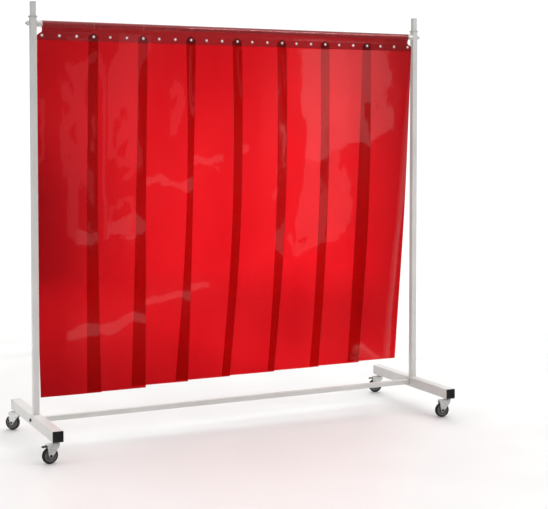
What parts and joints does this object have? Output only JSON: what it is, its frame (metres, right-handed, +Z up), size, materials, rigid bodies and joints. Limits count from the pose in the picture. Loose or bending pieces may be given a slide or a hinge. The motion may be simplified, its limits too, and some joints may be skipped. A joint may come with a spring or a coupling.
{
  "type": "welding curtain screen",
  "caption": "Mobile welding screen: overlapping red translucent strips wrap over a round rail between square uprights, on square feet with swivel castors joined by a low cross bar.",
  "frame": {"origin": "on the floor, below the middle of the cross bar, midway between the two uprights", "axes": "+X along the rail towards the right upright, -Y the front, +Z up"},
  "size_m": [2.2169, 0.777, 2.115],
  "materials": {
    "frame_paint": "light grey powder coat, satin",
    "grey_plastic": "light grey moulded plastic",
    "black_plastic": "black moulded plastic, satin",
    "core_plastic": "dark grey moulded wheel centre",
    "rubber": "black rubber tread",
    "zinc_plate": "bright zinc-plated steel",
    "dark_steel": "blackened steel fastener",
    "red_pvc": "red translucent glossy soft PVC"
  },
  "bodies": {
    "frame": {"left_foot": "frame_paint", "left_front_cap": "black_plastic", "left_back_cap": "black_plastic", "left_upright": "frame_paint", "left_spigot": "frame_paint", "left_spigot_cap": "grey_plastic", "left_collar": "grey_plastic", "left_collar_screw": "dark_steel", "left_bar_insert": "zinc_plate", "left_bar_bolt": "dark_steel", "left_rail_socket": "zinc_plate", "right_foot": "frame_paint", "right_front_cap": "black_plastic", "right_back_cap": "black_plastic", "right_upright": "frame_paint", "right_spigot": "frame_paint", "right_spigot_cap": "grey_plastic", "right_collar": "grey_plastic", "right_collar_screw": "dark_steel", "right_bar_insert": "zinc_plate", "right_bar_bolt": "dark_steel", "right_rail_socket": "zinc_plate", "cross_bar": "frame_paint", "rail": "zinc_plate", "castor_front_left_stem": "zinc_plate", "castor_front_right_stem": "zinc_plate", "castor_back_left_stem": "zinc_plate", "castor_back_right_stem": "zinc_plate"},
    "left_knob": {"left_rail_knob": "zinc_plate", "left_rail_bolt": "zinc_plate"},
    "right_knob": {"right_rail_knob": "zinc_plate", "right_rail_bolt": "zinc_plate"},
    "curtain": {"strip_1": "red_pvc", "strip_2": "red_pvc", "strip_3": "red_pvc", "strip_4": "red_pvc", "strip_5": "red_pvc", "strip_6": "red_pvc", "strip_7": "red_pvc", "strip_8": "red_pvc"},
    "castor_front_left_swivel": {"castor_front_left_fork": "zinc_plate", "castor_front_left_axle": "zinc_plate", "castor_front_left_pedal_pin": "zinc_plate"},
    "castor_front_left_wheel": {"castor_front_left_core": "core_plastic", "castor_front_left_tyre": "rubber"},
    "castor_front_left_brake": {"castor_front_left_pedal": "black_plastic"},
    "castor_front_right_swivel": {"castor_front_right_fork": "zinc_plate", "castor_front_right_axle": "zinc_plate"},
    "castor_front_right_wheel": {"castor_front_right_core": "core_plastic", "castor_front_right_tyre": "rubber"},
    "castor_back_left_swivel": {"castor_back_left_fork": "zinc_plate", "castor_back_left_axle": "zinc_plate"},
    "castor_back_left_wheel": {"castor_back_left_core": "core_plastic", "castor_back_left_tyre": "rubber"},
    "castor_back_right_swivel": {"castor_back_right_fork": "zinc_plate", "castor_back_right_axle": "zinc_plate", "castor_back_right_pedal_pin": "zinc_plate"},
    "castor_back_right_wheel": {"castor_back_right_core": "core_plastic", "castor_back_right_tyre": "rubber"},
    "castor_back_right_brake": {"castor_back_right_pedal": "black_plastic"}
  },
  "joints": [
    {"name": "curtain_swing", "type": "hinge", "parent": "frame", "child": "curtain", "pos_m": [0, 0, 2.0123], "axis": [1, 0, 0], "range_deg": [-60, 60]},
    {"name": "left_knob_turn", "type": "hinge", "parent": "frame", "child": "left_knob", "pos_m": [-1.07, 0, 2.0123], "axis": [-1, 0, 0], "continuous": true},
    {"name": "right_knob_turn", "type": "hinge", "parent": "frame", "child": "right_knob", "pos_m": [1.07, 0, 2.0123], "axis": [1, 0, 0], "continuous": true},
    {"name": "castor_front_left_turn", "type": "hinge", "parent": "frame", "child": "castor_front_left_swivel", "pos_m": [-1.055, -0.345, 0.1], "axis": [0, 0, 1], "continuous": true},
    {"name": "castor_front_left_roll", "type": "hinge", "parent": "castor_front_left_swivel", "child": "castor_front_left_wheel", "pos_m": [-1.08484, -0.34814, 0.0375], "axis": [0.1045, -0.9945, 0], "continuous": true},
    {"name": "castor_front_left_brake_press", "type": "hinge", "parent": "castor_front_left_swivel", "child": "castor_front_left_brake", "pos_m": [-1.08086, -0.34772, 0.0815], "axis": [0.1045, -0.9945, 0], "range_deg": [0, 13.5]},
    {"name": "castor_front_right_turn", "type": "hinge", "parent": "frame", "child": "castor_front_right_swivel", "pos_m": [1.055, -0.345, 0.1], "axis": [0, 0, 1], "continuous": true},
    {"name": "castor_front_right_roll", "type": "hinge", "parent": "castor_front_right_swivel", "child": "castor_front_right_wheel", "pos_m": [1.02546, -0.33979, 0.0375], "axis": [-0.1736, -0.9848, 0], "continuous": true},
    {"name": "castor_back_left_turn", "type": "hinge", "parent": "frame", "child": "castor_back_left_swivel", "pos_m": [-1.055, 0.345, 0.1], "axis": [0, 0, 1], "continuous": true},
    {"name": "castor_back_left_roll", "type": "hinge", "parent": "castor_back_left_swivel", "child": "castor_back_left_wheel", "pos_m": [-1.07658, 0.36584, 0.0375], "axis": [-0.6947, -0.7193, 0], "continuous": true},
    {"name": "castor_back_right_turn", "type": "hinge", "parent": "frame", "child": "castor_back_right_swivel", "pos_m": [1.055, 0.345, 0.1], "axis": [0, 0, 1], "continuous": true},
    {"name": "castor_back_right_roll", "type": "hinge", "parent": "castor_back_right_swivel", "child": "castor_back_right_wheel", "pos_m": [1.02681, 0.35526, 0.0375], "axis": [-0.342, -0.9397, 0], "continuous": true},
    {"name": "castor_back_right_brake_press", "type": "hinge", "parent": "castor_back_right_swivel", "child": "castor_back_right_brake", "pos_m": [1.03057, 0.35389, 0.0815], "axis": [-0.342, -0.9397, 0], "range_deg": [0, 13.5]}
  ]
}
